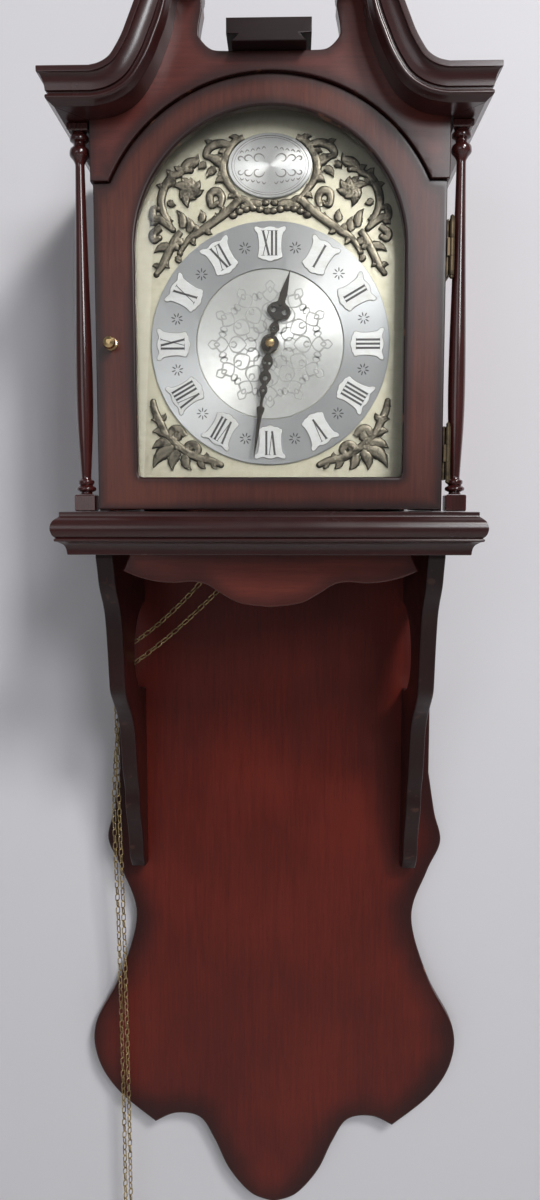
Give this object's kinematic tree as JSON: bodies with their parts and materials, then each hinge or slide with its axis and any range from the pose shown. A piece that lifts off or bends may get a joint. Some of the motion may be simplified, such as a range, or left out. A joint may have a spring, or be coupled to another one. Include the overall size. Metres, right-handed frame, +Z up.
{
  "type": "hooded wall clock",
  "caption": "Wall clock with a swan-neck hood, arched silvered dial, glazed hinged door, spindle columns, moulded shelf on scalloped brackets, shaped open backboard and a hanging drive chain.",
  "frame": {"origin": "hanging point on the back face of the wall plate, behind the hood", "axes": "+Z up, -Y towards the room and the viewer, +X to the viewer's right"},
  "size_m": [0.3444, 0.2066, 1.1111],
  "materials": {
    "mahogany": "dark red-brown french polish on turned and moulded wood",
    "mahogany_panel": "red mahogany panel, satin polish, edges shaded darker",
    "glass": "thin clear window glass",
    "cream_plate": "cream lacquered plate with a satin sheen",
    "silvered": "silvered and brushed metal, engraved",
    "antique_casting": "cast ornament, antique silver-brass with dark recesses",
    "bronze_hand": "dark bronzed steel",
    "brass": "polished brass",
    "train_steel": "steel arbors and pinions with brass wheels",
    "old_brass": "aged brass",
    "iron_plate": "dark japanned iron plate"
  },
  "bodies": {
    "case": {"shelf": "mahogany", "bracket_left": "mahogany", "bracket_right": "mahogany", "hood_roof": "mahogany", "swan_neck_left": "mahogany", "swan_neck_right": "mahogany", "cornice_return_left": "mahogany", "cornice_return_right": "mahogany", "plinth_block": "mahogany", "column_left": "mahogany", "column_right": "mahogany", "seat_board": "mahogany", "backboard": "mahogany_panel", "apron": "mahogany_panel", "hood_side_left": "mahogany_panel", "hood_side_right": "mahogany_panel", "pediment_board": "mahogany_panel", "dial_plate": "cream_plate", "chapter_ring": "silvered", "dial_centre": "silvered", "arch_boss": "silvered", "spandrel_upper_left": "antique_casting", "spandrel_upper_right": "antique_casting", "spandrel_lower_left": "antique_casting", "spandrel_lower_right": "antique_casting", "front_plate": "brass", "back_plate": "brass", "pillar_upper_left": "brass", "pillar_upper_right": "brass", "pillar_lower_left": "brass", "pillar_lower_right": "brass", "back_cock": "brass", "minute_stud": "train_steel", "hinge_upper_hood_leaf": "old_brass", "hinge_upper_pin": "old_brass", "hinge_lower_hood_leaf": "old_brass", "hinge_lower_pin": "old_brass", "chain_run_left": "old_brass", "chain_run_right": "old_brass", "chain_end_ring": "old_brass", "weight_hook": "old_brass", "hanger_plate": "iron_plate"},
    "door": {"door_frame": "mahogany_panel", "door_glass": "glass", "door_knob": "brass", "hinge_upper_door_leaf": "old_brass", "hinge_lower_door_leaf": "old_brass"},
    "minute_arbor": {"centre_wheel": "train_steel", "cannon_pinion": "train_steel", "minute_hand": "bronze_hand", "hand_nut": "brass"},
    "hour_pipe": {"hour_wheel": "brass", "hour_hand": "bronze_hand"},
    "minute_wheel": {"minute_wheel": "brass"},
    "great_arbor": {"great_wheel": "train_steel", "chain_sprocket": "brass"},
    "third_arbor": {"third_wheel": "train_steel"},
    "escape_arbor": {"escape_wheel": "train_steel"},
    "anchor": {"pallet_anchor": "train_steel", "crutch": "train_steel"}
  },
  "joints": [
    {"name": "door_swing", "type": "hinge", "parent": "case", "child": "door", "pos_m": [0.1283, -0.1665, -0.1144], "axis": [0, 0, 1], "range_deg": [0, 105]},
    {"name": "minute_hand_turn", "type": "hinge", "parent": "case", "child": "minute_arbor", "pos_m": [0, -0.09, -0.1054], "axis": [0, 1, 0], "continuous": true},
    {"name": "hour_hand_turn", "type": "hinge", "parent": "case", "child": "hour_pipe", "pos_m": [0, -0.09, -0.1054], "axis": [0, 1, 0], "continuous": true},
    {"name": "minute_wheel_turn", "type": "hinge", "parent": "case", "child": "minute_wheel", "pos_m": [0.01697, -0.13, -0.12237], "axis": [0, 1, 0], "continuous": true},
    {"name": "great_wheel_turn", "type": "hinge", "parent": "case", "child": "great_arbor", "pos_m": [-0.026, -0.09, -0.1358], "axis": [0, 1, 0], "continuous": true},
    {"name": "third_wheel_turn", "type": "hinge", "parent": "case", "child": "third_arbor", "pos_m": [0.0185, -0.09, -0.08333], "axis": [0, 1, 0], "continuous": true},
    {"name": "escape_wheel_turn", "type": "hinge", "parent": "case", "child": "escape_arbor", "pos_m": [0, -0.09, -0.069], "axis": [0, 1, 0], "continuous": true},
    {"name": "anchor_swing", "type": "hinge", "parent": "case", "child": "anchor", "pos_m": [0, -0.09, -0.0475], "axis": [0, 1, 0], "range_deg": [-3, 3]}
  ],
  "couplings": [
    {"joint": "hour_hand_turn", "follows": "minute_hand_turn", "ratio": 0.083333},
    {"joint": "minute_wheel_turn", "follows": "minute_hand_turn", "ratio": -0.33333},
    {"joint": "great_wheel_turn", "follows": "minute_hand_turn", "ratio": -0.11111},
    {"joint": "third_wheel_turn", "follows": "minute_hand_turn", "ratio": -8},
    {"joint": "escape_wheel_turn", "follows": "minute_hand_turn", "ratio": 64}
  ]
}
